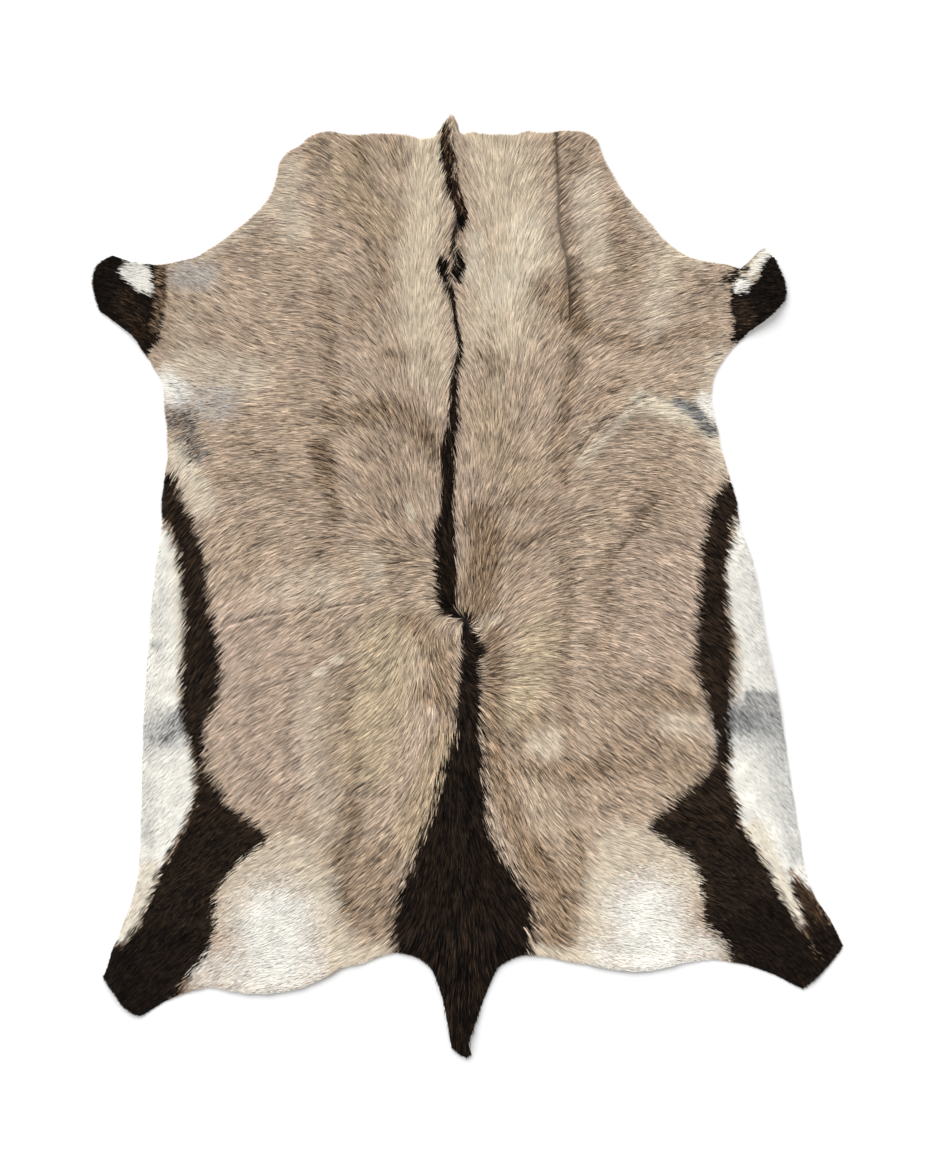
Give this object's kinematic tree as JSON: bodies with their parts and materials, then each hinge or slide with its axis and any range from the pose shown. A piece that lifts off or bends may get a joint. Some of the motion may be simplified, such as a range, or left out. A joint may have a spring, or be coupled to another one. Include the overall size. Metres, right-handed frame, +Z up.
{
  "type": "gemsbok hide",
  "caption": "Tanned antelope hide with its coat on, lying flat: neck, open forelegs, flanks, hind legs and a short tail, with soft folds. A floor or wall rug.",
  "frame": {"origin": "under the middle of the hide's length and width, on the floor that it lies on", "axes": "+Y towards the neck, +X towards the animal's right flank as the hide lies hair side up, +Z up"},
  "size_m": [1.4234, 1.7894, 0.0285],
  "materials": {
    "coat": "short fawn hair on tanned skin, dark brown stripe and bands, white belly edges and haunches"
  },
  "bodies": {
    "root": {"hide": "coat"}
  },
  "joints": []
}
